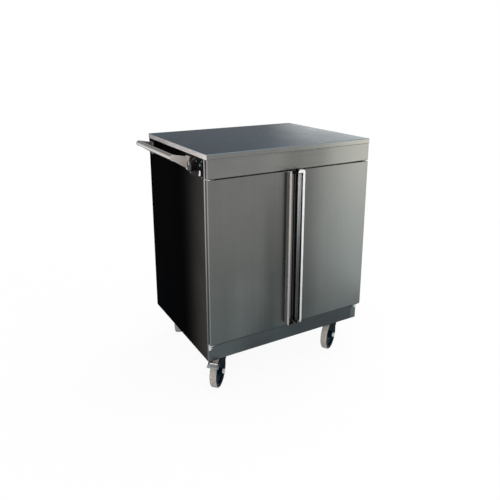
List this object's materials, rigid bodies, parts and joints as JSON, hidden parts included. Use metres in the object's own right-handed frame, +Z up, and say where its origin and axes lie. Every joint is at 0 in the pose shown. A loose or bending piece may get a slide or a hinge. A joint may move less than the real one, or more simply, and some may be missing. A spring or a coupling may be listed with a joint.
{
  "type": "plate warmer",
  "caption": "Heated plate cabinet on swivel castors: steel worktop, pin-hung doors with full-height grips, push handle and dial control on the left end, wire shelves inside.",
  "frame": {"origin": "on the floor, under the middle of the outer box, with the push handle, door grips, brake pedal and cable gland counted in", "axes": "+X to the right seen from the front, +Y from the doors to the back, +Z up"},
  "size_m": [0.765, 0.598, 0.9],
  "materials": {
    "worktop_steel": "satin, fine lengthwise brushing",
    "front_steel": "satin, upright brushing",
    "plinth_steel": "satin",
    "side_coating": "satin black",
    "bright_steel": "polished with fine scratches",
    "liner_steel": "mill finish",
    "shelf_wire": "bright plated",
    "galvanised_steel": "spangled",
    "zinc_plate": "bright zinc",
    "castor_enamel": "dark enamel",
    "wheel_plastic": "moulded",
    "tread_rubber": "worn grey rubber",
    "element_sheath": "heat stained",
    "mineral_wool": "fibrous",
    "seal_rubber": "matt",
    "black_plastic": "fine texture",
    "white_plastic": "smooth",
    "green_lens": "clear moulded lens"
  },
  "bodies": {
    "cabinet": {"worktop": "worktop_steel", "front_fascia": "front_steel", "left_side_panel": "side_coating", "right_side_panel": "side_coating", "back_panel": "side_coating", "front_plinth": "plinth_steel", "base_pan": "galvanised_steel", "chamber_left_wall": "liner_steel", "chamber_right_wall": "liner_steel", "chamber_back_wall": "liner_steel", "chamber_ceiling": "liner_steel", "chamber_floor": "liner_steel", "insulation_slabs": "mineral_wool", "shelf_runners": "liner_steel", "wire_shelves": "shelf_wire", "heating_element": "element_sheath", "element_cover": "liner_steel", "control_panel": "black_plastic", "thermostat": "black_plastic", "sensor_bulb": "element_sheath", "indicator_lamp": "green_lens", "power_switch": "black_plastic", "terminal_block": "white_plastic", "cable_gland": "black_plastic", "push_handle_tube": "bright_steel", "push_handle_brackets": "bright_steel", "hinge_brackets": "bright_steel", "door_magnets": "black_plastic", "castor_plates": "zinc_plate", "castor_bolts": "zinc_plate"},
    "dial_knob": {"thermostat_knob": "black_plastic"},
    "rocker": {"switch_rocker": "white_plastic"},
    "left_door": {"left_door_outer_skin": "front_steel", "left_door_inner_skin": "liner_steel", "left_door_hinge_pins": "bright_steel", "left_door_gasket": "seal_rubber", "left_door_grip": "bright_steel"},
    "right_door": {"right_door_outer_skin": "front_steel", "right_door_inner_skin": "liner_steel", "right_door_hinge_pins": "bright_steel", "right_door_gasket": "seal_rubber", "right_door_grip": "bright_steel"},
    "front_left_swivel": {"front_left_castor_fork": "castor_enamel", "front_left_castor_axle": "zinc_plate"},
    "front_left_wheel": {"front_left_castor_hub": "wheel_plastic", "front_left_castor_tyre": "tread_rubber"},
    "front_left_pedal": {"front_left_brake_pedal": "zinc_plate"},
    "front_right_swivel": {"front_right_castor_fork": "castor_enamel", "front_right_castor_axle": "zinc_plate"},
    "front_right_wheel": {"front_right_castor_hub": "wheel_plastic", "front_right_castor_tyre": "tread_rubber"},
    "rear_left_swivel": {"rear_left_castor_fork": "castor_enamel", "rear_left_castor_axle": "zinc_plate"},
    "rear_left_wheel": {"rear_left_castor_hub": "wheel_plastic", "rear_left_castor_tyre": "tread_rubber"},
    "rear_left_pedal": {"rear_left_brake_pedal": "zinc_plate"},
    "rear_right_swivel": {"rear_right_castor_fork": "castor_enamel", "rear_right_castor_axle": "zinc_plate"},
    "rear_right_wheel": {"rear_right_castor_hub": "wheel_plastic", "rear_right_castor_tyre": "tread_rubber"}
  },
  "joints": [
    {"name": "left_door_hinge", "type": "hinge", "parent": "cabinet", "child": "left_door", "pos_m": [-0.307, -0.2695, 0.5065], "axis": [0, 0, -1], "range_deg": [0, 180]},
    {"name": "right_door_hinge", "type": "hinge", "parent": "cabinet", "child": "right_door", "pos_m": [0.372, -0.2695, 0.5065], "axis": [0, 0, 1], "range_deg": [0, 180]},
    {"name": "dial_knob_turn", "type": "hinge", "parent": "cabinet", "child": "dial_knob", "pos_m": [-0.3155, -0.186, 0.848], "axis": [1, 0, 0], "range_deg": [0, 270]},
    {"name": "rocker_tilt", "type": "hinge", "parent": "cabinet", "child": "rocker", "pos_m": [-0.3165, -0.232, 0.829], "axis": [0, -1, 0], "range_deg": [0, 16]},
    {"name": "front_left_swivel_turn", "type": "hinge", "parent": "cabinet", "child": "front_left_swivel", "pos_m": [-0.2355, -0.199, 0.133], "axis": [0, 0, 1], "continuous": true},
    {"name": "front_left_wheel_roll", "type": "hinge", "parent": "front_left_swivel", "child": "front_left_wheel", "pos_m": [-0.26606, -0.23065, 0.0625], "axis": [0.7193, -0.6947, 0], "continuous": true},
    {"name": "front_left_pedal_press", "type": "hinge", "parent": "front_left_swivel", "child": "front_left_pedal", "pos_m": [-0.29663, -0.2623, 0.116], "axis": [0.7193, -0.6947, 0], "range_deg": [0, 10]},
    {"name": "front_right_swivel_turn", "type": "hinge", "parent": "cabinet", "child": "front_right_swivel", "pos_m": [0.3005, -0.199, 0.133], "axis": [0, 0, 1], "continuous": true},
    {"name": "front_right_wheel_roll", "type": "hinge", "parent": "front_right_swivel", "child": "front_right_wheel", "pos_m": [0.2636, -0.22296, 0.0625], "axis": [0.5446, -0.8387, 0], "continuous": true},
    {"name": "rear_left_swivel_turn", "type": "hinge", "parent": "cabinet", "child": "rear_left_swivel", "pos_m": [-0.2575, 0.185, 0.133], "axis": [0, 0, 1], "continuous": true},
    {"name": "rear_left_wheel_roll", "type": "hinge", "parent": "rear_left_swivel", "child": "rear_left_wheel", "pos_m": [-0.2355, 0.2231, 0.0625], "axis": [-0.866, 0.5, 0], "continuous": true},
    {"name": "rear_left_pedal_press", "type": "hinge", "parent": "rear_left_swivel", "child": "rear_left_pedal", "pos_m": [-0.2135, 0.26121, 0.116], "axis": [-0.866, 0.5, 0], "range_deg": [0, 10]},
    {"name": "rear_right_swivel_turn", "type": "hinge", "parent": "cabinet", "child": "rear_right_swivel", "pos_m": [0.3225, 0.185, 0.133], "axis": [0, 0, 1], "continuous": true},
    {"name": "rear_right_wheel_roll", "type": "hinge", "parent": "rear_right_swivel", "child": "rear_right_wheel", "pos_m": [0.3404, 0.2252, 0.0625], "axis": [-0.9135, 0.4067, 0], "continuous": true}
  ]
}
